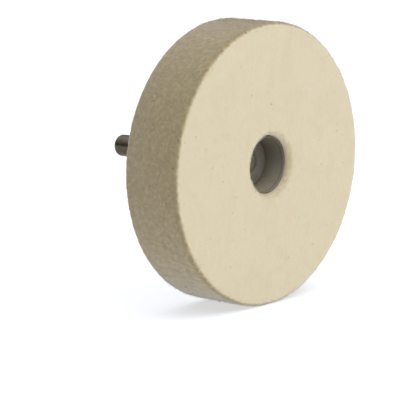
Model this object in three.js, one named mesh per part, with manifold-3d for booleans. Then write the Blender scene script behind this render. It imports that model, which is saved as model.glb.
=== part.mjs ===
// Felt polishing wheel clamped on a drill arbor, for slicking leather edges and polishing tools.
//
// Millimetres, +Z up. The arbor's axis is the Y axis. The origin is the centre of the shank's end face,
// which looks along +Y. The wheel is at the other end, and its open front face looks along -Y.
//
// The wheel stands between a pressed flange at its back and a pressed steel cup that is sunk into its
// front, so that its whole front face is free to work. The stack is drawn together by a round nut, turned
// with a pin spanner, at the bottom of the cup. A hexagon nut, jammed on the end of the thread behind the
// wheel, carries the flange.
import * as THREE from "three";
import { mergeVertices } from "three/addons/utils/BufferGeometryUtils.js";
import Module from "manifold-3d";

const wasm = await Module();
wasm.setup();

// ---------------------------------------------------------------- driving dimensions

const FELT = {
  diameter: 100,
  width: 24,
  clampedWidth: 8.4, // felt left between the cup and the back flange
  rimRadius: 1.4, // worn round the two outer edges
  lipRadius: 0.5, // worn round the mouth of the hollow
};
const THREAD = { diameter: 8, setback: 0.4, tipChamfer: 0.8 }; // setback: its end behind the nut's face
const SHANK = { diameter: 8, gripLength: 37, endRadius: 1.8 };
const CUP = { wall: 0.8, floor: 1.5, mouthRecess: 0.4, bendRadius: 1.6 };
const FLANGE = { diameter: 45, sheet: 1.8, dish: 0.9, landWidth: 5.5, slopeWidth: 3 };
const BUSH = { wall: 1.85, endPlay: 0.6, endChamfer: 0.4 };
const CLAMP_NUT = { diameter: 17.6, height: 3.2, edgeRadius: 0.4 };
const PIN_HOLES = { diameter: 2.6, depth: 2.2, circle: 12.4 }; // circle: through both holes' centres
const NECK = { wall: 1.5, length: 0.8, play: 0.25 }; // swaged neck that holds the washer on its nut
const CAPTIVE_WASHER = { diameter: 16.4, sheet: 0.9, dish: 0.3 };
const SPRING_WASHER = { thickness: 2, section: 3.3, slit: 0.9, slitLean: 20, edgeRadius: 0.25 };
const CLEARANCE = {
  thread: 0.1, // nut bore over the thread's crests
  sliding: 0.15, // bush, flange and washers over the thread
  felt: 0.25, // felt around steel
  nutInCup: 0.5,
};

// The metric hexagon nut: sizes that the standard ties to the thread's diameter, and how it is turned
const NUT = {
  acrossFlats: THREAD.diameter * 1.625,
  height: THREAD.diameter * 0.8125,
  chamferAngle: 30,
  countersink: 0.5,
  blankMargin: 0.5, // the round blank's reach past the hexagon's corners, before they are milled
};

const SEGMENTS = { wheel: 96, flange: 64, small: 48, hole: 20 };
const ARC_STEPS = 3;

// ---------------------------------------------------------------- sizes worked out from them

const threadRadius = THREAD.diameter / 2;
const nutBore = threadRadius + CLEARANCE.thread;
const slidingBore = threadRadius + CLEARANCE.sliding;
const bushRadius = slidingBore + BUSH.wall;
const nutFlatRadius = NUT.acrossFlats / 2;
const nutCornerRadius = NUT.acrossFlats / Math.sqrt(3);
const nutBlankRadius = nutCornerRadius + NUT.blankMargin;
const nutBlankChamfer = (nutBlankRadius - nutFlatRadius) * Math.tan((NUT.chamferAngle * Math.PI) / 180);
const neckRadius = nutBore + NECK.wall;
const washerRadius = CAPTIVE_WASHER.diameter / 2;
const cupInside = CLAMP_NUT.diameter / 2 + CLEARANCE.nutInCup;
const cupRadius = cupInside + CUP.wall;
const hollowRadius = cupRadius + CLEARANCE.felt;
const feltBore = bushRadius + CLEARANCE.felt;

// Places along the axis, from the shank's end towards the wheel's front face
const shoulderY = -SHANK.gripLength; // end of the thread, where the rear nut jams
const rearNutFrontY = shoulderY - NUT.height;
const flangeBackY = rearNutFrontY - SPRING_WASHER.thickness;
const feltBackY = flangeBackY - FLANGE.sheet - FLANGE.dish;
const feltFrontY = feltBackY - FELT.width;
const hollowFloorY = feltBackY - FELT.clampedWidth;
const cupFloorY = hollowFloorY - CUP.floor;
const cupMouthY = feltFrontY + CUP.mouthRecess;
const clampNutBackY = cupFloorY - CAPTIVE_WASHER.sheet - CAPTIVE_WASHER.dish;
const clampNutFrontY = clampNutBackY - CLAMP_NUT.height;
const studEndY = clampNutFrontY + THREAD.setback;

// ---------------------------------------------------------------- shape helpers

// A profile in the (radius, y) half-plane. Each corner is [radius, y] or [radius, y, fillet], and a fillet
// is an arc tangent to both sides of its corner. Corners run anticlockwise, so that the solid lies inside.
function profile(corners, closed) {
  const points = corners.map(([radius, y]) => new THREE.Vector2(radius, y));
  const count = points.length;
  const outline = [];
  corners.forEach(([, , fillet], i) => {
    const corner = points[i];
    if (!fillet) {
      outline.push(corner);
      return;
    }
    const before = points[(i + count - 1) % count].clone().sub(corner).normalize();
    const after = points[(i + 1) % count].clone().sub(corner).normalize();
    const halfAngle = Math.acos(before.dot(after)) / 2;
    const centre = before
      .clone()
      .add(after)
      .setLength(fillet / Math.sin(halfAngle))
      .add(corner);
    const tangent = fillet / Math.tan(halfAngle);
    const start = before.setLength(tangent).add(corner).sub(centre);
    const end = after.setLength(tangent).add(corner).sub(centre);
    const sweep = Math.atan2(start.cross(end), start.dot(end));
    for (let step = 0; step <= ARC_STEPS; step++) {
      const spoke = start.clone().rotateAround(new THREE.Vector2(), (sweep * step) / ARC_STEPS);
      outline.push(spoke.add(centre));
    }
  });
  return closed ? [...outline, outline[0]] : outline;
}

// A ring: a closed profile turned about the Y axis.
const ring = (corners, segments) => new THREE.LatheGeometry(profile(corners, true), segments);

// A spindle: a profile that starts and ends on the Y axis.
const spindle = (corners, segments) => new THREE.LatheGeometry(profile(corners, false), segments);

function solidOf(geometry) {
  const bare = geometry.clone().deleteAttribute("normal").deleteAttribute("uv");
  const merged = mergeVertices(bare, 1e-4);
  return new wasm.Manifold(
    new wasm.Mesh({
      numProp: 3,
      vertProperties: merged.attributes.position.array,
      triVerts: new Uint32Array(merged.index.array),
    }),
  );
}

function geometryOf(solid) {
  const { vertProperties, triVerts } = solid.getMesh();
  const geometry = new THREE.BufferGeometry();
  geometry.setAttribute("position", new THREE.BufferAttribute(vertProperties, 3));
  geometry.setIndex(new THREE.BufferAttribute(triVerts, 1));
  geometry.computeVertexNormals();
  return geometry;
}

// A hexagonal prism about the Y axis, with flats facing up and down.
function hexagonPrism(acrossFlats, lowY, highY) {
  const corners = Array.from({ length: 6 }, (_, i) =>
    new THREE.Vector2(acrossFlats / Math.sqrt(3), 0).rotateAround(new THREE.Vector2(), (i * Math.PI) / 3),
  );
  return new THREE.ExtrudeGeometry(new THREE.Shape(corners), { depth: highY - lowY, bevelEnabled: false })
    .rotateX(-Math.PI / 2)
    .translate(0, lowY, 0);
}

// A hexagon nut: a turned blank, milled to a hexagon.
function hexagonNut(blankCorners, lowY, highY) {
  const blank = solidOf(ring(blankCorners, SEGMENTS.small));
  const hexagon = solidOf(hexagonPrism(NUT.acrossFlats, lowY - 1, highY + 1));
  return geometryOf(blank.intersect(hexagon));
}

// ---------------------------------------------------------------- pieces

// One block of hard pressed felt: a stepped hole, wide in front for the cup and narrow behind for the bush.
function feltWheel() {
  const radius = FELT.diameter / 2;
  return ring(
    [
      [feltBore, hollowFloorY],
      [hollowRadius, hollowFloorY],
      [hollowRadius, feltFrontY, FELT.lipRadius],
      [radius, feltFrontY, FELT.rimRadius],
      [radius, feltBackY, FELT.rimRadius],
      [feltBore, feltBackY],
    ],
    SEGMENTS.wheel,
  );
}

// Spacer tube that centres the felt on the thread. It is a little shorter than the felt that it goes
// through, so the flange and the cup grip felt and not the bush.
function boreBush() {
  const frontY = hollowFloorY + BUSH.endPlay / 2;
  const backY = feltBackY - BUSH.endPlay / 2;
  const c = BUSH.endChamfer;
  return ring(
    [
      [slidingBore, frontY + c],
      [slidingBore + c, frontY],
      [bushRadius - c, frontY],
      [bushRadius, frontY + c],
      [bushRadius, backY - c],
      [bushRadius - c, backY],
      [slidingBore + c, backY],
      [slidingBore, backY - c],
    ],
    SEGMENTS.small,
  );
}

// A plain shank for the chuck, then the thread, drawn at its crests. The rear nut stands at the thread's
// end with its back face level with the shank's. There is a step there if the two differ in diameter.
function arborSpindle() {
  const shankRadius = SHANK.diameter / 2;
  const step = shankRadius === threadRadius ? [] : [[threadRadius, shoulderY], [shankRadius, shoulderY]];
  return spindle(
    [
      [0, studEndY],
      [threadRadius - THREAD.tipChamfer, studEndY],
      [threadRadius, studEndY + THREAD.tipChamfer],
      ...step,
      [shankRadius, 0, SHANK.endRadius],
      [0, 0],
    ],
    SEGMENTS.small,
  );
}

// A full nut, chamfered at both ends and countersunk at both ends of its bore.
function rearNut() {
  const blankCorners = [
    [nutBore, rearNutFrontY + NUT.countersink],
    [nutBore + NUT.countersink, rearNutFrontY],
    [nutFlatRadius, rearNutFrontY],
    [nutBlankRadius, rearNutFrontY + nutBlankChamfer],
    [nutBlankRadius, shoulderY - nutBlankChamfer],
    [nutFlatRadius, shoulderY],
    [nutBore + NUT.countersink, shoulderY],
    [nutBore, shoulderY - NUT.countersink],
  ];
  return hexagonNut(blankCorners, rearNutFrontY, shoulderY);
}

// A round nut with two blind holes for a pin spanner. Its neck stands in the captive washer's bore.
function clampNut() {
  const radius = CLAMP_NUT.diameter / 2;
  const neckEndY = clampNutBackY + NECK.length;
  const body = ring(
    [
      [nutBore, clampNutFrontY + NUT.countersink],
      [nutBore + NUT.countersink, clampNutFrontY],
      [radius, clampNutFrontY, CLAMP_NUT.edgeRadius],
      [radius, clampNutBackY, CLAMP_NUT.edgeRadius],
      [neckRadius, clampNutBackY],
      [neckRadius, neckEndY],
      [nutBore, neckEndY],
    ],
    SEGMENTS.small,
  );
  const spannerHoles = [1, -1].map((side) => {
    const pin = new THREE.CylinderGeometry(
      PIN_HOLES.diameter / 2,
      PIN_HOLES.diameter / 2,
      PIN_HOLES.depth * 2,
      SEGMENTS.hole,
    );
    return solidOf(pin.translate(0, clampNutFrontY, (side * PIN_HOLES.circle) / 2));
  });
  return geometryOf(spannerHoles.reduce((rest, hole) => rest.subtract(hole), solidOf(body)));
}

// A dished washer that turns freely on the nut's neck. Its outer edge bears on the cup's floor.
function nutWasher() {
  const bore = neckRadius + NECK.play;
  const { sheet, dish } = CAPTIVE_WASHER;
  return ring(
    [
      [bore, cupFloorY - dish - sheet],
      [washerRadius, cupFloorY - sheet, sheet / 4],
      [washerRadius, cupFloorY],
      [bore, cupFloorY - dish],
    ],
    SEGMENTS.small,
  );
}

// Drawn steel cup, sunk into the felt. Its floor is the front clamping flange.
function clampCup() {
  const insideBend = Math.max(CUP.bendRadius - CUP.wall, 0.2);
  return ring(
    [
      [slidingBore, cupFloorY],
      [cupInside, cupFloorY, insideBend],
      [cupInside, cupMouthY, CUP.wall / 3],
      [cupRadius, cupMouthY, CUP.wall / 3],
      [cupRadius, hollowFloorY, CUP.bendRadius],
      [slidingBore, hollowFloorY],
    ],
    SEGMENTS.small,
  );
}

// Pressed flange: a flat land round the edge bears on the felt, and the centre is dished back off it.
function rearFlange() {
  const radius = FLANGE.diameter / 2;
  const landRadius = radius - FLANGE.landWidth;
  const bossRadius = landRadius - FLANGE.slopeWidth;
  const { sheet, dish } = FLANGE;
  const bend = sheet / 2;
  return ring(
    [
      [slidingBore, feltBackY + dish],
      [bossRadius, feltBackY + dish, bend],
      [landRadius, feltBackY, bend],
      [radius, feltBackY, sheet / 4],
      [radius, feltBackY + sheet, sheet / 2.5],
      [landRadius, feltBackY + sheet, bend],
      [bossRadius, flangeBackY, bend],
      [slidingBore, flangeBackY],
    ],
    SEGMENTS.flange,
  );
}

// Split spring washer, drawn pressed flat: a square-edged ring with one leaning cut.
function rearSpringWasher() {
  const { thickness, section, slit, slitLean, edgeRadius } = SPRING_WASHER;
  const outer = slidingBore + section;
  const body = ring(
    [
      [slidingBore, rearNutFrontY - thickness],
      [outer, rearNutFrontY - thickness, edgeRadius],
      [outer, rearNutFrontY, edgeRadius],
      [slidingBore, rearNutFrontY],
    ],
    SEGMENTS.small,
  );
  const cut = new THREE.BoxGeometry(slit, thickness * 3, section * 2)
    .rotateZ((slitLean * Math.PI) / 180)
    .translate(0, rearNutFrontY - thickness / 2, slidingBore + section / 2);
  return geometryOf(solidOf(body).subtract(solidOf(cut)));
}

// ---------------------------------------------------------------- the assembly

const felt = new THREE.MeshStandardMaterial({ color: 0xdcd1b4, roughness: 0.95, metalness: 0 });
const nylon = new THREE.MeshStandardMaterial({ color: 0xe6e2d6, roughness: 0.5, metalness: 0 });
const darkSteel = new THREE.MeshStandardMaterial({ color: 0x5b564d, roughness: 0.4, metalness: 0.9 });
const brightSteel = new THREE.MeshStandardMaterial({ color: 0x8d8a82, roughness: 0.3, metalness: 1 });

const PIECES = {
  felt_wheel: [feltWheel, felt],
  bore_bush: [boreBush, nylon],
  arbor_spindle: [arborSpindle, brightSteel],
  rear_nut: [rearNut, darkSteel],
  rear_spring_washer: [rearSpringWasher, darkSteel],
  rear_flange: [rearFlange, darkSteel],
  clamp_cup: [clampCup, darkSteel],
  nut_washer: [nutWasher, darkSteel],
  clamp_nut: [clampNut, darkSteel],
};

const wheel = new THREE.Group();
for (const [name, [shape, material]] of Object.entries(PIECES)) {
  const mesh = new THREE.Mesh(shape(), material);
  mesh.name = name;
  wheel.add(mesh);
}

export default wheel;
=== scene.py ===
"""Builds the finished surfaces of a felt polishing wheel on its drill arbor, around a fixed frame.

Everything is in metres. The arbor's axis is the Y axis, its shank's end is at the origin, and the wheel's
working face looks along -Y. Angles round the tool are counted from +X towards +Z.
"""
import math

import bpy
import numpy as np
from bpy.props import FloatProperty, FloatVectorProperty, IntProperty, PointerProperty
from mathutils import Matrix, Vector


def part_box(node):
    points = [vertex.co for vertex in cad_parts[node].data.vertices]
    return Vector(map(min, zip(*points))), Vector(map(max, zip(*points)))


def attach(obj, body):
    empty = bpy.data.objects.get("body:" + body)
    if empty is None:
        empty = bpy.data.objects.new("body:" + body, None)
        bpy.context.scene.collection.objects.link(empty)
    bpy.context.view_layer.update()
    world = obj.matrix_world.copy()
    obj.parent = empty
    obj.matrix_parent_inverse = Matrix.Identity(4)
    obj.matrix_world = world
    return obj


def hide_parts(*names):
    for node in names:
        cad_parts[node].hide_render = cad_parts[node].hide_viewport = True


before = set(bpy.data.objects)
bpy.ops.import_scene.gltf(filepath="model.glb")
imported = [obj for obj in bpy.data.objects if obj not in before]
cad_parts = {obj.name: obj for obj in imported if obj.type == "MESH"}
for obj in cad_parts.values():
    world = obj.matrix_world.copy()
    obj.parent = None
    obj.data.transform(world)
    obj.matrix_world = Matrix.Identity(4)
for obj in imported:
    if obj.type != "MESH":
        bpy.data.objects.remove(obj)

bl_info = {
    "name": "Felt Wheel on Arbor",
    "version": (1, 0, 0),
    "blender": (4, 5, 0),
    "location": "View3D > Sidebar > Felt Wheel",
    "description": "Builds a felt polishing wheel, its arbor and its clamp, with their materials",
    "category": "Add Mesh",
}

MM = 0.001
FULL_TURN = 2 * math.pi
RANDOM_SEED = 7


# ---------------------------------------------------------------- sizes read from the frame


def span(node):
    """(radius, lowest y, highest y) of a round CAD node."""
    low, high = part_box(node)
    return high.x, low.y, high.y


FELT_RADIUS, FELT_FRONT, FELT_BACK = span("felt_wheel")
CUP_RADIUS, CUP_MOUTH, CUP_BACK = span("clamp_cup")
BUSH_RADIUS, BUSH_FRONT, BUSH_BACK = span("bore_bush")
ROD_RADIUS, STUD_END, SHANK_END = span("arbor_spindle")
FLANGE_RADIUS, FLANGE_FRONT, FLANGE_BACK = span("rear_flange")
SPRING_RADIUS, SPRING_FRONT, SPRING_BACK = span("rear_spring_washer")
WASHER_RADIUS, WASHER_FRONT, WASHER_BACK = span("nut_washer")
_, REAR_NUT_FRONT, REAR_NUT_BACK = span("rear_nut")
REAR_NUT_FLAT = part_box("rear_nut")[1].z
CLAMP_NUT_RADIUS, CLAMP_NUT_FRONT, CLAMP_NUT_BACK = span("clamp_nut")


# ---------------------------------------------------------------- fits and fineness


SLIDING_BORE = ROD_RADIUS + 0.15 * MM  # of the pieces that slide over the thread
THREAD_BORE = ROD_RADIUS + 0.1 * MM  # of the nuts, where their thread fades out
NECK_RADIUS = THREAD_BORE + 1.5 * MM  # of the clamp nut, behind its shoulder
CAPTIVE_BORE = NECK_RADIUS + 0.25 * MM  # of the washer that turns on that neck
COUNTERSINK = 0.5 * MM  # at the ends of the nuts' bores
FINE = 0.25 * MM  # the finest spacing of points along a section
SAME = 1e-7  # two lengths closer than this are equal
WEAR_WIDTH = 0.25 * MM  # how fast the wear of an edge fades beside it


# ---------------------------------------------------------------- what a user may change


class FeltSettings(bpy.types.PropertyGroup):
    """The felt wheel."""

    edge_radius: FloatProperty(
        name="Edge radius",
        description="Wear round the two outer edges",
        default=1.9 * MM, min=0, max=5 * MM, unit="LENGTH",
    )
    lip_radius: FloatProperty(
        name="Lip radius",
        description="Wear round the mouth of the hollow",
        default=2.4 * MM, min=0, max=3 * MM, unit="LENGTH",
    )
    clearance: FloatProperty(
        name="Clearance",
        description="Room between the felt and the steel inside it",
        default=0.25 * MM, min=0, max=1 * MM, unit="LENGTH",
    )
    unevenness: FloatProperty(
        name="Unevenness",
        description="How far the pressed surface dips below a true one",
        default=0.14 * MM, min=0, max=1 * MM, unit="LENGTH",
    )
    fibres: IntProperty(
        name="Loose fibres",
        description="Number of stray wool fibres that stand off the surface",
        default=7400, min=0, max=7500,
    )
    face_colour: FloatVectorProperty(
        name="Face colour",
        description="Colour of the clean pressed faces",
        default=(0.715, 0.625, 0.445), size=3, min=0, max=1, subtype="COLOR",
    )
    # Painted shade: the rim colour is darker than the cut fibre ends alone make it, standing in for the
    # shade on the side of the rim turned from the key light.
    rim_colour_and_shade: FloatVectorProperty(
        name="Rim colour",
        description="Colour of the cut rim, where the fibre ends show",
        default=(0.325, 0.265, 0.155), size=3, min=0, max=1, subtype="COLOR",
    )


class SteelSettings(bpy.types.PropertyGroup):
    """The arbor and its clamp."""

    pitch: FloatProperty(
        name="Thread pitch",
        description="Distance between two turns of the thread",
        default=1.25 * MM, min=0.5 * MM, max=3 * MM, unit="LENGTH",
    )
    sheet: FloatProperty(
        name="Cup wall",
        description="Thickness of the cup's wall",
        default=0.8 * MM, min=0.5 * MM, max=3 * MM, unit="LENGTH",
    )
    mouth_trim: FloatProperty(
        name="Cup trim",
        description="How far the cup's mouth lies below the edge of the frame's plain cup",
        default=1.6 * MM, min=0, max=3 * MM, unit="LENGTH",
    )
    floor: FloatProperty(
        name="Cup floor",
        description="Thickness of the cup's floor",
        default=1.5 * MM, min=0.5 * MM, max=3 * MM, unit="LENGTH",
    )
    flange_sheet: FloatProperty(
        name="Flange sheet",
        description="Thickness of the pressed flange",
        default=1.8 * MM, min=0.5 * MM, max=4 * MM, unit="LENGTH",
    )
    end_radius: FloatProperty(
        name="Shank end",
        description="Rounding of the shank's end",
        default=1.8 * MM, min=0.1 * MM, max=3.5 * MM, unit="LENGTH",
    )
    pin_circle: FloatProperty(
        name="Pin circle",
        description="Distance between the middles of the clamp nut's two spanner holes",
        default=12.4 * MM, min=11 * MM, max=14 * MM, unit="LENGTH",
    )
    pin_hole: FloatProperty(
        name="Pin hole",
        description="Diameter of each spanner hole",
        default=2.6 * MM, min=1 * MM, max=3 * MM, unit="LENGTH",
    )
    pin_depth: FloatProperty(
        name="Pin hole depth",
        description="Depth of each spanner hole",
        default=2.2 * MM, min=0.5 * MM, max=2.8 * MM, unit="LENGTH",
    )
    matt_colour: FloatVectorProperty(
        name="Matt steel",
        description="Colour of the phosphated steel of the cup and the parts in it",
        default=(0.38, 0.348, 0.28), size=3, min=0, max=1, subtype="COLOR",
    )
    dark_colour: FloatVectorProperty(
        name="Dark steel",
        description="Colour of the oiled, darkened steel",
        default=(0.19, 0.176, 0.148), size=3, min=0, max=1, subtype="COLOR",
    )
    bright_colour: FloatVectorProperty(
        name="Shank steel",
        description="Colour of the ground steel of the spindle",
        default=(0.14, 0.122, 0.09), size=3, min=0, max=1, subtype="COLOR",
    )


class StageSettings(bpy.types.PropertyGroup):
    """Camera, lights and floor."""

    azimuth: FloatProperty(
        name="Azimuth",
        description="Where the camera stands round the tool, from in front of the working face",
        default=math.radians(-49.1), unit="ROTATION",
    )
    elevation: FloatProperty(
        name="Elevation",
        description="How far the camera looks down",
        default=math.radians(10), unit="ROTATION",
    )
    distance: FloatProperty(
        name="Distance",
        description="From the camera's plane to the middle of the working face",
        default=776 * MM, min=0.1, unit="LENGTH",
    )
    lens: FloatProperty(name="Lens", description="Focal length in millimetres", default=200, min=10)
    aside: FloatProperty(
        name="Aside",
        description="How far the middle of the face stands right of the picture's middle",
        default=24.9 * MM, unit="LENGTH",
    )
    above: FloatProperty(
        name="Above",
        description="How far the middle of the face stands above the picture's middle",
        default=12.2 * MM, unit="LENGTH",
    )
    key_power: FloatProperty(
        name="Key light",
        description="Power of the key light",
        default=6.2, min=0, unit="POWER",
    )
    sky_strength: FloatProperty(name="Sky", description="Strength of the soft surround", default=1.5, min=0)
    floor_glow: FloatProperty(
        name="Floor glow",
        description="Light that the floor, a lit panel, gives by itself",
        default=0.55, min=0, max=1,
    )
    floor_colour: FloatVectorProperty(
        name="Floor colour",
        description="Colour of the floor",
        default=(0.60, 0.62, 0.655), size=3, min=0, max=1, subtype="COLOR",
    )


# ---------------------------------------------------------------- surfaces


def outline(corners, spacing):
    """Points round a closed section in the (radius, y) half-plane, and how worn each one is, from 0 to 1.

    Corners run anticlockwise, as (radius, y, fillet). A fillet is the arc that touches both sides of its
    corner: its centre lies on the corner's bisector at fillet / sin(half angle) from the corner. Points lie
    on the arcs and on the straight runs between them, about a spacing apart on the runs. Wear is 1 on
    outward arcs and falls off as exp(-distance / wear width) along the outline.
    """
    corners = np.array(corners, dtype=float)
    places, fillets = corners[:, :2], corners[:, 2]
    arcs = []
    outward = []
    for here, before, after, fillet in zip(
        places, np.roll(places, 1, axis=0), np.roll(places, -1, axis=0), fillets
    ):
        back = (before - here) / np.linalg.norm(before - here)
        ahead = (after - here) / np.linalg.norm(after - here)
        half = math.acos(np.clip(back @ ahead, -1, 1)) / 2
        bisector = (back + ahead) / np.linalg.norm(back + ahead)
        centre = here + bisector * fillet / math.sin(half)
        start = here + back * fillet / math.tan(half) - centre
        turn = math.copysign(math.pi - 2 * half, np.cross(ahead, back))
        steps = 1 if fillet == 0 else max(4, math.ceil(abs(turn) * fillet / (0.4 * spacing)))
        angle = turn * np.linspace(0, 1, steps + 1)[:, None] if fillet else np.zeros((1, 1))
        across = np.array([-start[1], start[0]])
        arcs.append(centre + start * np.cos(angle) + across * np.sin(angle))
        outward.append(turn > 0)
    points = []
    for arc, following in zip(arcs, arcs[1:] + arcs[:1]):
        gap = following[0] - arc[-1]
        steps = max(1, math.ceil(np.linalg.norm(gap) / spacing))
        run = arc[-1] + gap * np.linspace(0, 1, steps + 1)[1:-1, None]
        points += [arc, run]
    points = np.concatenate(points)
    edges = np.concatenate([arc for arc, convex in zip(arcs, outward) if convex])
    distance = np.linalg.norm(points[:, None] - edges[None], axis=2).min(axis=1)
    return points, np.exp(-distance / WEAR_WIDTH)


def around(radius, y, angle):
    """Points of the tool at these radii, places along the axis and angles: (r cos a, y, r sin a)."""
    return np.stack(np.broadcast_arrays(radius * np.cos(angle), y, radius * np.sin(angle)), axis=-1)


def turns(count):
    """Angles of `count` equal steps round the axis."""
    return np.arange(count) * FULL_TURN / count


def grid_faces(rows, columns, close_rows, close_columns=True):
    """Quads between neighbours on a grid of rows by columns, numbered row by row, facing outwards."""
    row = np.arange(rows if close_rows else rows - 1)[:, None]
    column = np.arange(columns if close_columns else columns - 1)[None]
    below, right = (row + 1) % rows, (column + 1) % columns
    here, beneath = row * columns, below * columns
    return np.stack((here + column, beneath + column, beneath + right, here + right), axis=-1).reshape(-1, 4)


def ripples(points, wavelength, random, waves=28):
    """A smooth random height of spread about 1: a sum of cosines of one wavelength in random directions."""
    direction = random.normal(size=(waves, 3))
    direction /= np.linalg.norm(direction, axis=1, keepdims=True)
    phase = random.uniform(0, FULL_TURN, waves)
    heights = np.cos(points @ direction.T * (FULL_TURN / wavelength) + phase)
    return heights.sum(axis=-1) * math.sqrt(2 / waves)


def smooth_step(x):
    """0 below 0, 1 above 1, and 3x^2 - 2x^3 between them."""
    x = np.clip(x, 0, 1)
    return x * x * (3 - 2 * x)


def thread_depth(angle, y, pitch):
    """How far a right-hand metric thread lies below its crests at an angle and a place along the axis.

    The phase is place / pitch plus the share of a turn, which a nut keeps as it turns and feeds along -Y.
    The flanks rise by the fundamental height over half a pitch, and are cut off an eighth of it below the
    crests' tip and a quarter above the roots'.
    """
    height = pitch * math.sqrt(3) / 2
    phase = (y / pitch + angle / FULL_TURN) % 1
    return np.clip(height * (2 * np.abs(phase - 0.5) - 1 / 8), 0, height * 5 / 8)


# ---------------------------------------------------------------- pieces from surfaces


def add_piece(name, points, faces, material, body, node, attributes=None):
    """Makes a mesh object at the origin and ties it to the frame."""
    mesh = bpy.data.meshes.new(name)
    mesh.from_pydata(points.reshape(-1, 3).tolist(), [], faces)
    for key, values in (attributes or {}).items():
        mesh.attributes.new(key, "FLOAT", "POINT").data.foreach_set("value", values.ravel().astype("f4"))
    if mesh.validate(clean_customdata=False):
        raise RuntimeError(f"{name} has faces that Blender had to remove")
    mesh.shade_smooth()
    mesh.set_sharp_from_angle(angle=math.radians(28))
    mesh.materials.append(material)
    piece = bpy.data.objects.new(name, mesh)
    bpy.context.collection.objects.link(piece)
    if node:
        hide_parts(node)
    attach(piece, body)
    return piece


def add_turned(name, corners, spacing, columns, material, body):
    """A ring: a closed section turned about the Y axis. It stands for the CAD node of the same name."""
    section, wear = outline(corners, spacing)
    points = around(section[:, :1], section[:, 1:], turns(columns)[None])
    faces = grid_faces(len(section), columns, close_rows=True).tolist()
    worn = np.broadcast_to(wear[:, None], points.shape[:2])
    return add_piece(name + "_finish", points, faces, material, body, name, {"worn": worn})


def add_lofted(name, keys, columns, cut, material, body, poles=False):
    """A surface of straight rows between key curves round the axis, for nuts and spindles.

    Each key is (radius at each angle, y at each angle, steps to the next key, wear), and a row is
    key + (next key - key) * share. `cut` moves the points afterwards, as a thread does: it takes and gives
    radii and places along the axis. Without poles the last key runs on to the first. With poles the first
    and last keys are points on the axis.
    """
    angle = turns(columns)[None]
    flat = 0 * angle
    curves = [np.stack((radius + flat, y + flat, wear + flat)) for radius, y, _, wear in keys]
    steps = [key[2] for key in keys]
    ahead = curves[1:] + ([] if poles else curves[:1])
    rows = [
        here + (there - here) * np.linspace(0, 1, count + 1)[None, :-1, None]
        for here, there, count in zip(curves, ahead, steps)
    ]
    radius, y, worn = np.concatenate(rows, axis=1)
    radius, y = cut(radius, y, angle)
    points = around(radius, y, angle)
    if not poles:
        faces = grid_faces(*radius.shape, close_rows=True).tolist()
        return add_piece(name + "_finish", points, faces, material, body, name, {"worn": worn})
    ends = np.array([[0, curves[0][1, 0, 0], 0], [0, curves[-1][1, 0, 0], 0]])
    points = np.concatenate([points[1:].reshape(-1, 3), ends])
    worn = np.concatenate([worn[1:].ravel(), [0, 0]])
    rings = len(radius) - 1
    walls = grid_faces(rings, columns, close_rows=False)
    column = np.arange(columns)
    beside = (column + 1) % columns
    last_ring = (rings - 1) * columns
    low_pole, high_pole = len(points) - 2, len(points) - 1
    low_fan = np.stack([np.full(columns, low_pole), column, beside], axis=-1)
    high_fan = np.stack([last_ring + column, np.full(columns, high_pole), last_ring + beside], axis=-1)
    faces = walls.tolist() + low_fan.tolist() + high_fan.tolist()
    return add_piece(name + "_finish", points, faces, material, body, name, {"worn": worn})


# ---------------------------------------------------------------- shader maths


class Value:
    """A node's output. Arithmetic on it adds Math nodes to its graph."""

    def __init__(self, graph, socket):
        self.graph = graph
        self.socket = socket

    def _math(self, operation, *values):
        return self.graph.node("ShaderNodeMath", {"operation": operation}, *values)

    def __add__(self, other):
        return self._math("ADD", self, other)

    def __sub__(self, other):
        return self._math("SUBTRACT", self, other)

    def __rsub__(self, other):
        return self._math("SUBTRACT", other, self)

    def __mul__(self, other):
        return self._math("MULTIPLY", self, other)

    def __truediv__(self, other):
        return self._math("DIVIDE", self, other)

    def __pow__(self, other):
        return self._math("POWER", self, other)

    __radd__ = __add__
    __rmul__ = __mul__

    def step(self, low, high):
        """0 below low, 1 above high, and smooth between them. It falls instead when low is above high."""
        settings = {"interpolation_type": "SMOOTHSTEP"}
        if low < high:
            return self.graph.node("ShaderNodeMapRange", settings, self, low, high, 0, 1)
        return self.graph.node("ShaderNodeMapRange", settings, self, high, low, 1, 0)


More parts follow.
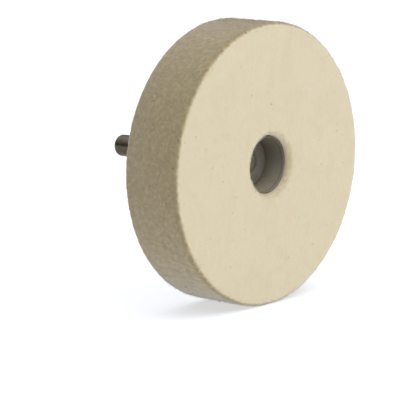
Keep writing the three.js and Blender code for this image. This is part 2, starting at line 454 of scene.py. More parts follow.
class Graph:
    """The node tree of a material, and one method that adds any node to it."""

    def __init__(self, tree):
        self.tree = tree
        self.tree.nodes.clear()

    def node(self, kind, settings=None, *values, out=None, **named):
        """Adds a node, sets it up, feeds its inputs in order or by name, and returns one output."""
        made = self.tree.nodes.new(kind)
        for key, setting in (settings or {}).items():
            if key == "stops":
                ramp = made.color_ramp
                ramp.elements[0].position, ramp.elements[0].color = setting[0]
                ramp.elements[1].position, ramp.elements[1].color = setting[-1]
                for place, colour in setting[1:-1]:
                    ramp.elements.new(place).color = colour
            else:
                setattr(made, key, setting)
        sockets = [socket for socket in made.inputs if socket.enabled]
        by_name = {socket.name.replace(" ", "_"): socket for socket in reversed(sockets)}
        pairs = list(zip(sockets, values)) + [(by_name[key], value) for key, value in named.items()]
        for socket, value in pairs:
            self.feed(socket, value)
        outputs = [socket for socket in made.outputs if socket.enabled]
        return Value(self, next((s for s in outputs if s.name == out), outputs[0]) if outputs else None)

    def feed(self, socket, value):
        """Links a value to a socket, or sets the socket to a number, vector or colour."""
        if isinstance(value, Value):
            self.tree.links.new(value.socket, socket)
        elif hasattr(socket.default_value, "__len__") and len(socket.default_value) == 4:
            socket.default_value = (*value[:3], 1)
        else:
            socket.default_value = value

    def mix(self, share, first, second, blend="MIX"):
        """A colour between two colours."""
        settings = {"data_type": "RGBA", "blend_type": blend}
        return self.node("ShaderNodeMix", settings, share, first, second)

    def noise(self, place, scale, detail=2, roughness=0.5, distortion=0):
        """Fractal noise from 0 to 1. The scale is in cells per metre."""
        return self.node(
            "ShaderNodeTexNoise", None, out="Fac",
            Vector=place, Scale=scale, Detail=detail, Roughness=roughness, Distortion=distortion,
        )

    def stretched(self, place, x, y, z):
        """The place with each direction scaled by itself."""
        return self.node("ShaderNodeVectorMath", {"operation": "MULTIPLY"}, place, (x, y, z))

    def bump(self, height, distance, strength=1.0, normal=None):
        """A normal tilted by a height from 0 to 1, whose full depth is `distance` metres."""
        named = {"Strength": strength, "Distance": distance, "Height": height}
        if normal:
            named["Normal"] = normal
        return self.node("ShaderNodeBump", None, **named)


def new_material(name):
    """A material with an empty graph."""
    material = bpy.data.materials.new(name)
    material.use_nodes = True
    return material, Graph(material.node_tree)


def finish_material(graph, **sockets):
    """Ends a graph in one Principled shader."""
    shader = graph.node("ShaderNodeBsdfPrincipled", None, **sockets)
    graph.node("ShaderNodeOutputMaterial", None, shader)


def shade(colour, share):
    """A colour made darker or lighter."""
    return tuple(min(1.0, part * share) for part in colour)


def tinted(colour, red, green, blue):
    """A colour with each channel scaled by itself."""
    return (colour[0] * red, colour[1] * green, colour[2] * blue)


def felt_material(settings):
    """Pressed wool: cream faces with faint warm blotches and a browner cut rim, darker partly from its fibre
    ends and partly from painted shade, and lighter and greyer towards the back, a painted sheen.

    Where they meet is a ragged, pale band. Tangled strands and a few dark burrs lie all over.
    """
    material, graph = new_material("pressed_felt")
    face, rim = tuple(settings.face_colour), tuple(settings.rim_colour_and_shade)
    place = graph.node("ShaderNodeTexCoord", None, out="Object")
    on_rim = graph.node("ShaderNodeAttribute", {"attribute_name": "rim"}, out="Fac")

    clouds = graph.noise(place, 70, detail=2, roughness=0.5)
    spots = graph.noise(place, 260, detail=3, roughness=0.6)
    speckle = graph.noise(place, 640, detail=2, roughness=0.6)
    grain = graph.noise(place, 1500, detail=2, roughness=0.7)
    strands = graph.noise(place, 420, detail=4, roughness=0.62, distortion=2.6)
    along = graph.node("ShaderNodeSeparateXYZ", None, place, out="Y")

    yellow = tinted(face, 0.992, 1.0, 0.965)
    pink = tinted(face, 1.008, 1.0, 0.985)
    clean = graph.mix(clouds.step(0.36, 0.66), yellow, pink)
    warm = tinted(face, 0.95, 0.90, 0.79)
    clean = graph.mix(spots.step(0.54, 0.74) * 0.34, clean, warm)
    blotches = graph.noise(place, 105, detail=3, roughness=0.55, distortion=0.8)
    clean = graph.mix(blotches.step(0.44, 0.68) * 0.5, clean, tinted(face, 0.965, 0.935, 0.88))
    clean = graph.mix(speckle.step(0.35, 0.7) * 0.12, clean, shade(face, 0.84))

    # The rim's colour carries painted shade as well as the darker fibre ends of the cut.
    olive = tinted(rim, 1.0, 0.975, 0.90)
    mauve_and_sheen = tinted(rim, 1.05, 1.06, 1.16)
    # Painted sheen: the rim turns lighter and greyer from front to back, standing in for the sheen at its
    # grazing back edge.
    behind = along.step(FELT_FRONT + 3 * MM, FELT_BACK - 2 * MM)
    cut = graph.mix(clouds * 0.3 + behind * 0.7, olive, mauve_and_sheen)
    cut = graph.mix(spots.step(0.40, 0.66) * 0.4, cut, shade(rim, 0.84))
    cut = graph.mix(speckle.step(0.36, 0.62) * 0.42, cut, shade(rim, 0.72))
    cut = graph.mix(grain.step(0.4, 0.66) * 0.36, cut, shade(rim, 1.3))
    cut = graph.mix(strands.step(0.5, 0.62) * 0.22, cut, shade(rim, 1.34))
    ragged = on_rim + (speckle - 0.5) * 0.7 + (strands - 0.5) * 0.55
    band = ragged.step(0.1, 0.5) * ragged.step(1.05, 0.6)
    colour = graph.mix(ragged.step(0.2, 1.0), clean, cut)
    colour = graph.mix(band * 0.3, colour, tinted(rim, 1.45, 1.42, 1.3))

    burrs = graph.node(
        "ShaderNodeTexVoronoi", {"feature": "F1"}, out="Distance", Vector=place, Scale=520, Randomness=1,
    )
    chosen = graph.noise(place, 300, detail=0) + on_rim * 0.05
    burr = burrs.step(0.26, 0.12) * chosen.step(0.69, 0.73)
    colour = graph.mix(burr * (on_rim * 0.45 + 0.3), colour, tinted(rim, 0.36, 0.44, 0.72))

    height = strands * 0.5 + speckle * 0.35 + grain * 0.3
    normal = graph.bump(height, 0.35 * MM, strength=0.6)
    rough = grain * 0.08 + 0.88
    finish_material(
        graph, Base_Color=colour, Roughness=rough, Normal=normal,
        Sheen_Weight=0.75, Sheen_Roughness=0.42, Specular_IOR_Level=0.2,
    )
    return material


def fibre_material(settings):
    """Single wool fibres, as pale as the felt's faces, darker towards the rim, where they take the rim's
    colour with its painted shade.
    """
    material, graph = new_material("wool_fibre")
    place = graph.node("ShaderNodeTexCoord", None, out="Object")
    on_rim = graph.node("ShaderNodeAttribute", {"attribute_name": "rim"}, out="Fac")
    tone = graph.noise(place, 300, detail=1)
    clean = graph.mix(tone, shade(settings.face_colour, 0.9), shade(settings.face_colour, 1.05))
    cut = graph.mix(tone, shade(settings.rim_colour_and_shade, 0.9), shade(settings.rim_colour_and_shade, 1.25))
    colour = graph.mix(on_rim, clean, cut)
    normal = graph.bump(graph.noise(place, 9000, detail=0), 0.01 * MM, strength=0.5)
    finish_material(graph, Base_Color=colour, Roughness=tone * 0.1 + 0.75, Normal=normal)
    return material


def steel_material(name, colour, metallic, roughness, turned, stain, edge=1.9, painted_side_shade=None, dull=None):
    """Steel with fine lathe lines round the axis, smears of old oil and smoother worn edges.

    Turned is the strength of the lathe lines, stain that of the smears, and edge how light the worn edges
    are against the rest; below 1 it darkens them with painted shade. Painted side shade, a brown darkening
    over one side that stands for shade, is (height where it is lit, height where it is full, strength).
    Dull, for an unground end, is (colour, place along the axis where it is full, place where it ends).
    """
    material, graph = new_material(name)
    place = graph.node("ShaderNodeTexCoord", None, out="Object")
    worn = graph.node("ShaderNodeAttribute", {"attribute_name": "worn"}, out="Fac")
    flat = graph.stretched(place, 1, 0, 1)
    radius = graph.node("ShaderNodeVectorMath", {"operation": "LENGTH"}, flat, out="Value")
    along = graph.node("ShaderNodeSeparateXYZ", None, place, out="Y")
    ring = graph.node("ShaderNodeCombineXYZ", None, radius, along, 0)
    lines = graph.noise(ring, 9000, detail=2, roughness=0.7)
    smears = graph.noise(place, 420, detail=4, roughness=0.6, distortion=0.6)
    pits = graph.noise(place, 2600, detail=3, roughness=0.6)

    tone = graph.mix(lines, shade(colour, 0.86), shade(colour, 1.12))
    brown = tinted(colour, 0.78, 0.66, 0.5)
    tone = graph.mix(smears.step(0.5, 0.68) * stain, tone, brown)
    # Painted shade: a brown darkening over one side, standing in for the shade that falls there.
    if painted_side_shade:
        lit_height, shaded_height, strength = painted_side_shade
        side_shade_mask = graph.node("ShaderNodeSeparateXYZ", None, place, out="Z").step(lit_height, shaded_height)
        tone = graph.mix(side_shade_mask * strength, tone, tinted(colour, 0.51, 0.47, 0.43))
    # Worn edges: above 1 the edge setting lightens them as real wear, below 1 it darkens them as painted
    # shade on edges that catch light.
    edge_wear_and_shade = worn * (pits * 0.6 + 0.4)
    tone = graph.mix(edge_wear_and_shade * 0.8, tone, shade(colour, edge))

    rough = lines * 0.1 + smears.step(0.42, 0.7) * 0.16 + (roughness - 0.05) - edge_wear_and_shade * 0.1
    if dull:
        dull_colour, full_place, end_place = dull
        share = along.step(end_place, full_place)
        tone = graph.mix(share, tone, graph.mix(pits, shade(dull_colour, 0.8), shade(dull_colour, 1.15)))
        metallic = metallic - share * 0.85
        rough = rough + share * 0.3
    normal = graph.bump(lines, 0.02 * MM, strength=turned)
    normal = graph.bump(pits, 0.03 * MM, strength=0.18, normal=normal)
    finish_material(
        graph, Base_Color=tone, Metallic=metallic, Roughness=rough, Normal=normal,
        Specular_IOR_Level=0.2,
    )
    return material


def nylon_material():
    """Moulded nylon, a little cloudy, with faint flow marks."""
    material, graph = new_material("moulded_nylon")
    place = graph.node("ShaderNodeTexCoord", None, out="Object")
    cloud = graph.noise(place, 350, detail=2)
    flow = graph.noise(graph.stretched(place, 1, 0.15, 1), 3000, detail=2)
    colour = graph.mix(cloud, (0.72, 0.69, 0.60), (0.80, 0.775, 0.70))
    normal = graph.bump(flow, 0.02 * MM, strength=0.3)
    finish_material(graph, Base_Color=colour, Roughness=flow * 0.1 + 0.42, Normal=normal)
    return material


# ---------------------------------------------------------------- the felt


def felt_section(settings):
    """The corners of the wheel's section: a hollow for the cup in front, a bore for the bush behind."""
    hollow, bore = CUP_RADIUS + settings.clearance, BUSH_RADIUS + settings.clearance
    return [
        (bore, CUP_BACK, 0.3 * MM),
        (hollow, CUP_BACK, 0),
        (hollow, FELT_FRONT, settings.lip_radius),
        (FELT_RADIUS, FELT_FRONT, settings.edge_radius),
        (FELT_RADIUS, FELT_BACK, settings.edge_radius),
        (bore, FELT_BACK, 0.4 * MM),
    ]


def felt_surface(settings, spacing, columns):
    """Points of the felt, their outward normals, and how much each belongs to the cut rim.

    The section is turned about the axis, then every point sinks along its normal by the unevenness times
    a depth that is the sum of long, middling and short random ripples, kept between 0 and 1. The rim,
    which is cut and not pressed, dips deeper.
    """
    section, _ = outline(felt_section(settings), spacing)
    angle = turns(columns)[None]
    true = around(section[:, :1], section[:, 1:], angle)
    ahead = np.roll(section, -1, axis=0) - np.roll(section, 1, axis=0)
    ahead /= np.linalg.norm(ahead, axis=1, keepdims=True)
    normal = around(ahead[:, 1:], -ahead[:, :1], angle)
    on_edge = section[:, :1] > FELT_RADIUS - settings.edge_radius - 0.1 * MM
    rim = smooth_step((ahead[:, 1:] - 0.1) / 0.85) * on_edge * np.ones_like(angle)
    outside = smooth_step((section[:, :1] - CUP_RADIUS - 0.3 * MM) / (2 * MM))
    random = np.random.default_rng(RANDOM_SEED)
    depth = 0.5 + 0.16 * ripples(true, 21 * MM, random)
    depth = depth + 0.12 * ripples(true, 5.5 * MM, random)
    depth = depth + (0.10 + 0.14 * rim) * ripples(true, 2.6 * MM, random)
    sink = settings.unevenness * np.clip(depth, 0, 1) * outside
    return true - normal * sink[..., None], normal, rim


def add_fibres(settings, points, normal, rim):
    """Stray wool fibres, thin tubes that leave the felt and curl back towards it.

    A fibre starts at a random point of the felt, likelier on the rim and round the hollow's mouth. Along
    its share s from 0 to 1 its middle line is
    root + length * (s * direction + s * s * bend * sideways) + rise * 4 * s * (1 - s / 1.3) * normal, and
    its thickness falls to a point. Three sides and five rings make the tube.
    """
    random = np.random.default_rng(RANDOM_SEED + 1)
    distance = np.hypot(points[..., 0], points[..., 2])
    keep = np.argwhere(distance > CUP_RADIUS + 0.4 * MM)
    row, column = keep.T
    facing_back = points[row, column, 1] > FELT_BACK - 0.5 * MM
    at_mouth = (distance[row, column] < CUP_RADIUS + 2 * MM) & ~facing_back
    weight = 0.25 + 1.6 * rim[row, column] - 0.15 * facing_back + 1.2 * at_mouth
    row, column = keep[random.choice(len(keep), settings.fibres, replace=False, p=weight / weight.sum())].T
    root, up = points[row, column], normal[row, column]
    heading = random.normal(size=root.shape)
    heading -= up * (heading * up).sum(axis=1, keepdims=True)
    heading /= np.linalg.norm(heading, axis=1, keepdims=True)
    sideways = np.cross(up, heading)
    length = random.uniform(0.5, 1.8, (len(root), 1, 1)) * MM
    bend = random.uniform(-0.6, 0.6, (len(root), 1, 1))
    rise = random.uniform(0.04, 0.46, (len(root), 1, 1)) * MM
    thickness = random.uniform(0.022, 0.046, (len(root), 1, 1)) * MM
    share = np.linspace(0, 1, 5)[None, :, None]
    line = root[:, None] + length * (share * heading[:, None] + share**2 * bend * sideways[:, None])
    line = line + (rise * 4 * share * (1 - share / 1.3) - 0.03 * MM) * up[:, None]
    corner = turns(3)[None, None, :, None]
    cross = np.cos(corner) * up[:, None, None] + np.sin(corner) * sideways[:, None, None]
    tube = line[:, :, None] + cross * (thickness * (1.05 - share))[..., None]
    rings, sides = tube.shape[1:3]
    wall = grid_faces(rings, sides, close_rows=False)
    start = (np.arange(len(root)) * rings * sides)[:, None, None]
    walls = (start + wall[None]).reshape(-1, 4)
    caps = np.array([[0, 1, 2], [rings * sides - 1, rings * sides - 2, rings * sides - 3]])
    caps = (start + caps[None]).reshape(-1, 3)
    share_of_rim = np.broadcast_to(rim[row, column][:, None, None], tube.shape[:3])
    faces = walls.tolist() + caps.tolist()
    material = fibre_material(settings)
    add_piece("felt_fibres", tube, faces, material, "tool", None, {"rim": share_of_rim})


class FELTWHEEL_OT_felt(bpy.types.Operator):
    """Build the felt wheel and its stray fibres"""

    bl_idname = "felt_wheel.felt"
    bl_label = "Felt"

    def execute(self, context):
        settings = context.scene.felt_wheel_felt
        spacing, columns = ((0.76 * MM, 480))
        points, normal, rim = felt_surface(settings, spacing, columns)
        faces = grid_faces(*points.shape[:2], close_rows=True).tolist()
        material = felt_material(settings)
        add_piece("felt_wheel_finish", points, faces, material, "tool", "felt_wheel", {"rim": rim})
        if settings.fibres:
            add_fibres(settings, points, normal, rim)
        return {"FINISHED"}


# ---------------------------------------------------------------- the arbor


def dark_steel(context):
    """The oiled steel of the clamp, made once."""
    settings = context.scene.felt_wheel_steel
    made = bpy.data.materials.get("dark_steel")
    return made or steel_material(
        "dark_steel", tuple(settings.dark_colour), metallic=0.35, roughness=0.58, turned=0.2, stain=0.4,
    )


def matt_steel(context):
    """The phosphated steel inside the hollow, dull all over, with painted shade darkening its edges and its
    upper side, made once.
    """
    colour = tuple(context.scene.felt_wheel_steel.matt_colour)
    made = bpy.data.materials.get("matt_steel")
    # Painted shade: edge 0.2 darkens the edges that catch light, such as the cup's mouth, and the last
    # setting darkens the upper side, where the hollow's shade falls.
    return made or steel_material(
        "matt_steel", colour, metallic=0.12, roughness=0.68, turned=0.2, stain=0.5, edge=0.2,
        painted_side_shade=(-5 * MM, 5 * MM, 0.95),
    )


class FELTWHEEL_OT_spindle(bpy.types.Operator):
    """Build the spindle: a plain shank for the chuck, then a right-hand thread"""

    bl_idname = "felt_wheel.spindle"
    bl_label = "Spindle"

    def execute(self, context):
        settings = context.scene.felt_wheel_steel
        chamfer = 0.8 * MM
        end = settings.end_radius
        steps = int((REAR_NUT_BACK - STUD_END) / settings.pitch * 14)
        bend = np.linspace(0, math.pi / 2, 9)
        rounding = [
            (ROD_RADIUS - end * (1 - math.cos(turn)), SHANK_END - end * (1 - math.sin(turn)), 1, 0.15)
            for turn in bend
        ]
        keys = [
            (0, STUD_END, 3, 0),
            (ROD_RADIUS - chamfer, STUD_END, 4, 0.6),
            (ROD_RADIUS, STUD_END + chamfer, steps, 0.4),
            (ROD_RADIUS, REAR_NUT_BACK, 40, 0),
            (ROD_RADIUS, SHANK_END - end - FINE, 1, 0),
            *rounding,
            (ROD_RADIUS - end - FINE, SHANK_END, 4, 0),
            (0, SHANK_END, 1, 0),
        ]

        def cut_thread(radius, y, angle):
            run_out = smooth_step((REAR_NUT_BACK - 0.3 * MM - y) / (1.5 * settings.pitch))
            return np.minimum(radius, ROD_RADIUS - run_out * thread_depth(angle, y, settings.pitch)), y

        # Painted shade: the brown darkening below the axis dims the shank's lower side, toning down the
        # floor's reflection there.
        material = steel_material(
            "shank_steel", tuple(settings.bright_colour), metallic=1.0, roughness=0.31, turned=0.3,
            stain=0.35, painted_side_shade=(2.5 * MM, -2 * MM, 1.0),
            dull=(shade(settings.matt_colour, 0.5), STUD_END + 9 * MM, STUD_END + 12 * MM),
        )
        add_lofted("arbor_spindle", keys, 96, cut_thread, material, "tool", poles=True)
        return {"FINISHED"}


def hexagon(angle):
    """Radius of a hexagon with slightly rounded corners at an angle: its flats' distance from the axis,
    over the high-power mean of the cosines of the angles to the six flats."""
    to_flats = np.cos(angle[..., None] - (np.arange(6) + 0.5) * FULL_TURN / 6)
    return REAR_NUT_FLAT / (np.clip(to_flats, 0, None) ** 70).sum(axis=-1) ** (1 / 70)


def threaded_bore(radius, angle, y, front, back, pitch):
    """Radii of a nut's points once its bore is threaded: points on the bore move in by the thread's depth,
    which fades out over two thirds of a turn at either end."""
    reach = pitch / 1.5
    fade = smooth_step((y - front - 0.3 * MM) / reach) * smooth_step((back - 0.2 * MM - y) / reach)
    bore = THREAD_BORE - fade * thread_depth(angle, y, pitch)
    return np.where(np.abs(radius - THREAD_BORE) < SAME, bore, radius)


class FELTWHEEL_OT_clamp_nut(bpy.types.Operator):
    """Build the round clamp nut, with two blind holes for a pin spanner and a neck behind"""

    bl_idname = "felt_wheel.clamp_nut"
    bl_label = "Clamp nut"

    def execute(self, context):
        settings = context.scene.felt_wheel_steel
        front, shoulder, back = CLAMP_NUT_FRONT, WASHER_FRONT, CLAMP_NUT_BACK
        radius, edge, neck_edge = CLAMP_NUT_RADIUS, 0.4 * MM, 0.15 * MM
        keys = [
            (THREAD_BORE, front + COUNTERSINK, 3, 0),
            (THREAD_BORE + COUNTERSINK, front, 70, 0.5),
            (radius - edge, front, 3, 0.8),
            (radius, front + edge, 8, 0.8),
            (radius, shoulder - edge, 3, 0.3),
            (radius - edge, shoulder, 6, 0.3),
            (NECK_RADIUS, shoulder, 3, 0),
            (NECK_RADIUS, back - neck_edge, 2, 0.3),
            (NECK_RADIUS - neck_edge, back, 3, 0.6),
            (THREAD_BORE, back, 60, 0),
        ]

        def cut(radius, y, angle):
            """Threads the bore. Then a point of the front face sinks by the holes' depth wherever its
            distance from a hole's middle is less than the hole's radius, over a short slope."""
            across, up = radius * np.cos(angle), radius * np.sin(angle)
            off = np.hypot(across, np.abs(up) - settings.pin_circle / 2)
            slope = 0.12 * MM
            hole = smooth_step((settings.pin_hole / 2 + slope / 3 - off) / slope)
            on_front = y < front + FINE / 10
            sunk = np.where(on_front, hole * settings.pin_depth, 0)
            return threaded_bore(radius, angle, y, front, back, settings.pitch), y + sunk

        # Painted shade: the nut is darker than the cup's steel, with slightly darker edges and a darker
        # upper side, standing in for the shade deep in the hollow.
        steel = steel_material(
            "nut_steel", shade(settings.matt_colour, 0.64), metallic=0.12, roughness=0.66, turned=0.2,
            stain=0.5, edge=0.9, painted_side_shade=(-5 * MM, 7 * MM, 0.5),
        )
        add_lofted("clamp_nut", keys, 480, cut, steel, "nut")
        return {"FINISHED"}


class FELTWHEEL_OT_rear_nut(bpy.types.Operator):
    """Build the hexagon nut behind the wheel.

    The flats run up to a cone of 30 degrees that starts on a circle a little inside the flats, so the
    cone meets each flat in an arc.
    """

    bl_idname = "felt_wheel.rear_nut"
    bl_label = "Rear nut"

    def execute(self, context):
        pitch = context.scene.felt_wheel_steel.pitch
        front, back = REAR_NUT_FRONT, REAR_NUT_BACK
        columns = 192
        outside = hexagon(turns(columns))
        circle = REAR_NUT_FLAT * 0.965
        drop = (outside - circle) * math.tan(math.radians(30))
        keys = [
            (THREAD_BORE, front + COUNTERSINK, 3, 0),
            (THREAD_BORE + COUNTERSINK, front, 5, 0.5),
            (circle - FINE, front, 2, 0.1),
            (circle, front, 4, 0.8),
            (outside, front + drop, 2, 0.8),
            (outside, front + drop + FINE, 6, 0.1),
            (outside, back - drop - FINE, 2, 0.1),
            (outside, back - drop, 4, 0.8),
            (circle, back, 2, 0.8),
            (circle - FINE, back, 5, 0.1),
            (THREAD_BORE + COUNTERSINK, back, 3, 0.5),
            (THREAD_BORE, back - COUNTERSINK, 80, 0),
        ]

        def cut(radius, y, angle):
            return threaded_bore(radius, angle, y, front, back, pitch), y

        add_lofted("rear_nut", keys, columns, cut, dark_steel(context), "tool")
        return {"FINISHED"}


class FELTWHEEL_OT_washers(bpy.types.Operator):
    """Build the clamp nut's captive washer and the split spring washer"""

    bl_idname = "felt_wheel.washers"
    bl_label = "Washers"

    def execute(self, context):
        dish = 0.3 * MM
        captive = [
            (CAPTIVE_BORE, WASHER_FRONT, 0.15 * MM),
            (WASHER_RADIUS, WASHER_FRONT + dish, 0.22 * MM),
            (WASHER_RADIUS, WASHER_BACK, 0.05 * MM),
            (CAPTIVE_BORE, WASHER_BACK - dish, 0.15 * MM),
        ]
        add_turned("nut_washer", captive, FINE * 2, 144, matt_steel(context), "washer")
        self.add_spring_washer(dark_steel(context))
        return {"FINISHED"}

    @staticmethod
    def add_spring_washer(steel):
        """A rounded rectangle carried round the axis from one side of a leaning slit to the other.

        At radius r and place y the slit's middle is at a quarter turn plus (y - middle) * tan(lean) / r.
        Its half width in angle is slit / (2 * cos(lean) * r).
        """
        edge = 0.25 * MM
        corners = [
            (SLIDING_BORE, SPRING_FRONT, edge),
            (SPRING_RADIUS, SPRING_FRONT, edge),
            (SPRING_RADIUS, SPRING_BACK, edge),
            (SLIDING_BORE, SPRING_BACK, edge),
        ]
        section, wear = outline(corners, FINE)
        radius, y = section[:, :1], section[:, 1:]
        lean, slit = math.radians(20), 0.9 * MM
        middle = FULL_TURN / 4 + (y - (SPRING_FRONT + SPRING_BACK) / 2) * math.tan(lean) / radius
        half = slit / (2 * math.cos(lean) * radius)
        share = np.linspace(0, 1, 160)[None]
        points = around(radius, y, middle + half + share * (FULL_TURN - 2 * half))
        rows, columns = points.shape[:2]
        faces = grid_faces(rows, columns, close_rows=True, close_columns=False).tolist()
        start = (np.arange(rows) * columns)[::-1].tolist()
        end = (np.arange(rows) * columns + columns - 1).tolist()
        worn = np.broadcast_to(wear[:, None], (rows, columns))
        add_piece(
            "rear_spring_washer_finish", points, faces + [start, end], steel, "tool",
            "rear_spring_washer", {"worn": worn},
        )


class FELTWHEEL_OT_flanges(bpy.types.Operator):
    """Build the steel cup in front and the pressed flange behind"""

    bl_idname = "felt_wheel.flanges"
    bl_label = "Cup and flange"

    def execute(self, context):
        settings = context.scene.felt_wheel_steel
        inside = CUP_RADIUS - settings.sheet
        mouth = CUP_MOUTH + settings.mouth_trim
        outer_bend = 1.6 * MM
        cup = [
            (SLIDING_BORE, CUP_BACK - settings.floor, 0.15 * MM),
            (inside, CUP_BACK - settings.floor, 0.7 * MM),
            (inside, mouth, settings.sheet * 0.75),
            (CUP_RADIUS, mouth, settings.sheet * 0.15),
            (CUP_RADIUS, CUP_BACK, outer_bend),
            (SLIDING_BORE, CUP_BACK, 0.15 * MM),
        ]
        add_turned("clamp_cup", cup, FINE * 2, 192, matt_steel(context), "tool")

        sheet = settings.flange_sheet
        dish = FLANGE_BACK - FLANGE_FRONT - sheet
        land_width, slope_width, bend = 5.5 * MM, 3 * MM, 1.2 * MM
        land = FLANGE_RADIUS - land_width
        boss = land - slope_width
        flange = [
            (SLIDING_BORE, FLANGE_FRONT + dish, 0.15 * MM),
            (boss, FLANGE_FRONT + dish, bend),
            (land, FLANGE_FRONT, bend),
            (FLANGE_RADIUS, FLANGE_FRONT, 0.45 * MM),
            (FLANGE_RADIUS, FLANGE_FRONT + sheet, 0.7 * MM),
            (land, FLANGE_FRONT + sheet, bend),
            (boss, FLANGE_BACK, bend),
            (SLIDING_BORE, FLANGE_BACK, 0.15 * MM),
        ]
        add_turned("rear_flange", flange, FINE * 2, 256, dark_steel(context), "tool")
        return {"FINISHED"}


class FELTWHEEL_OT_bush(bpy.types.Operator):
    """Build the spacer bush between the felt and the thread"""

    bl_idname = "felt_wheel.bush"
    bl_label = "Bush"

    def execute(self, context):
        edge = 0.4 * MM
        corners = [
            (SLIDING_BORE, BUSH_FRONT, edge),
            (BUSH_RADIUS, BUSH_FRONT, edge),
            (BUSH_RADIUS, BUSH_BACK, edge),
            (SLIDING_BORE, BUSH_BACK, edge),
        ]
        add_turned("bore_bush", corners, FINE * 2, 128, nylon_material(), "tool")
        return {"FINISHED"}


# ---------------------------------------------------------------- the stage


def add_floor(settings):
    """A wide round floor under the wheel, a disc of rings whose radii grow from the middle."""
    rings = np.array([0.4, 1.0, 2.5, 6.0])[:, None]
    columns = 96
    points = around(rings, 0.0, turns(columns)[None])[..., [0, 2, 1]]
    points[..., 2] = -FELT_RADIUS
    points = np.concatenate([points.reshape(-1, 3), [[0, 0, -FELT_RADIUS]]])
    column = np.arange(columns)
    middle = np.stack([np.full(columns, len(points) - 1), column, (column + 1) % columns], axis=-1)
    faces = grid_faces(len(rings), columns, close_rows=False).tolist() + middle.tolist()
    mesh = bpy.data.meshes.new("floor")
    mesh.from_pydata(points.tolist(), [], faces)
    material, graph = new_material("studio_floor")
    finish_material(
        graph, Base_Color=tuple(settings.floor_colour), Roughness=0.9, Specular_IOR_Level=0.1,
        Emission_Color=(0.96, 0.98, 1.03), Emission_Strength=settings.floor_glow,
    )
    mesh.materials.append(material)
    floor = bpy.data.objects.new("floor", mesh)
    bpy.context.collection.objects.link(floor)


def add_area_light(name, azimuth, elevation, distance, size, strength, colour):
    """A square light that looks at the wheel's middle from an azimuth and elevation, both in degrees."""
    light = bpy.data.lights.new(name, "AREA")
    light.shape = "SQUARE"
    light.size = size
    light.energy = strength
    light.color = colour
    lamp = bpy.data.objects.new(name, light)
    a, e = math.radians(azimuth), math.radians(elevation)
    toward = Vector((math.sin(a) * math.cos(e), -math.cos(a) * math.cos(e), math.sin(e)))
    lamp.location = Vector((0, (FELT_FRONT + FELT_BACK) / 2, 0)) + toward * distance
    lamp.rotation_euler = (-toward).to_track_quat("-Z", "Y").to_euler()
    bpy.context.collection.objects.link(lamp)


def add_surround(settings):
    """A soft surround: plain white behind the tool, and as a light, dark at eye level and bright above."""
    world = bpy.data.worlds.new("studio")
    bpy.context.scene.world = world
    world.use_nodes = True
    graph = Graph(world.node_tree)
    direction = graph.node("ShaderNodeTexCoord", None, out="Generated")
    height = graph.node("ShaderNodeSeparateXYZ", None, direction, out="Z")
    dark, bright = (0.04, 0.04, 0.04, 1), (1, 1, 1, 1)
    stops = [(0.0, dark), (0.65, dark), (0.96, bright), (1.0, bright)]
    level = graph.node("ShaderNodeValToRGB", {"stops": stops}, height * 0.5 + 0.5)
    light = graph.node("ShaderNodeBackground", None, level, settings.sky_strength)
    plain = graph.node("ShaderNodeBackground", None, (1, 1, 1), 1.0)
    seen = graph.node("ShaderNodeLightPath", None, out="Is Camera Ray")
    both = graph.node("ShaderNodeMixShader", None, seen, light, plain)
    graph.node("ShaderNodeOutputWorld", None, both)


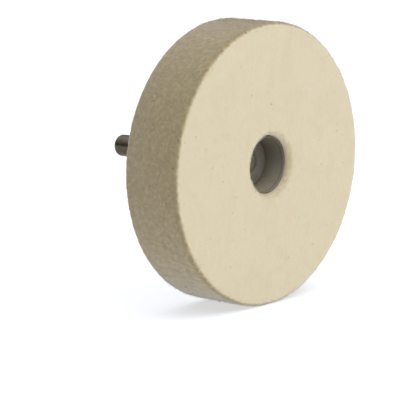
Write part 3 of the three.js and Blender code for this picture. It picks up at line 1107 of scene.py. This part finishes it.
class FELTWHEEL_OT_stage(bpy.types.Operator):
    """Add the floor, the lights and the camera"""

    bl_idname = "felt_wheel.stage"
    bl_label = "Stage"

    def execute(self, context):
        settings = context.scene.felt_wheel_stage
        add_floor(settings)
        add_surround(settings)
        add_area_light("key", 12, 48, 1.4, 1.0, settings.key_power, (1, 0.985, 0.955))
        a, e = settings.azimuth, settings.elevation
        back = Vector((math.sin(a) * math.cos(e), -math.cos(a) * math.cos(e), math.sin(e)))
        right = Vector((math.cos(a), math.sin(a), 0))
        up = back.cross(right)
        data = bpy.data.cameras.new("camera")
        data.lens = settings.lens
        camera = bpy.data.objects.new("camera", data)
        face_middle = Vector((0, FELT_FRONT, 0))
        picture_middle = face_middle - right * settings.aside - up * settings.above
        camera.location = picture_middle + back * settings.distance
        camera.rotation_euler = (-back).to_track_quat("-Z", "Y").to_euler()
        context.collection.objects.link(camera)
        context.scene.camera = camera
        context.scene.view_settings.view_transform = "Standard"
        return {"FINISHED"}


# ---------------------------------------------------------------- the panel and the script


OPERATORS = (
    FELTWHEEL_OT_stage,
    FELTWHEEL_OT_felt,
    FELTWHEEL_OT_bush,
    FELTWHEEL_OT_spindle,
    FELTWHEEL_OT_flanges,
    FELTWHEEL_OT_washers,
    FELTWHEEL_OT_clamp_nut,
    FELTWHEEL_OT_rear_nut,
)


class FELTWHEEL_PT_panel(bpy.types.Panel):
    """Lists the wheel's pieces and their settings"""

    bl_idname = "FELTWHEEL_PT_panel"
    bl_label = "Felt Wheel"
    bl_space_type = "VIEW_3D"
    bl_region_type = "UI"
    bl_category = "Felt Wheel"

    def draw(self, context):
        scene = context.scene
        for settings in (scene.felt_wheel_felt, scene.felt_wheel_steel, scene.felt_wheel_stage):
            column = self.layout.box().column()
            for key in settings.__annotations__:
                column.prop(settings, key)
        for operator in OPERATORS:
            self.layout.operator(operator.bl_idname)


SETTINGS = {
    "felt_wheel_felt": FeltSettings,
    "felt_wheel_steel": SteelSettings,
    "felt_wheel_stage": StageSettings,
}


def register():
    """Registers the classes and puts the settings on the scene."""
    for kind in (*SETTINGS.values(), *OPERATORS, FELTWHEEL_PT_panel):
        bpy.utils.register_class(kind)
    for key, kind in SETTINGS.items():
        setattr(bpy.types.Scene, key, PointerProperty(type=kind))


def unregister():
    """Undoes register."""
    for key in SETTINGS:
        delattr(bpy.types.Scene, key)
    for kind in reversed((*SETTINGS.values(), *OPERATORS, FELTWHEEL_PT_panel)):
        bpy.utils.unregister_class(kind)


def main():
    """Builds the stage and every piece."""
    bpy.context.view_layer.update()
    register()
    for operator in OPERATORS:
        group, call = operator.bl_idname.split(".")
        getattr(getattr(bpy.ops, group), call)()


if __name__ == "__main__":
    main()
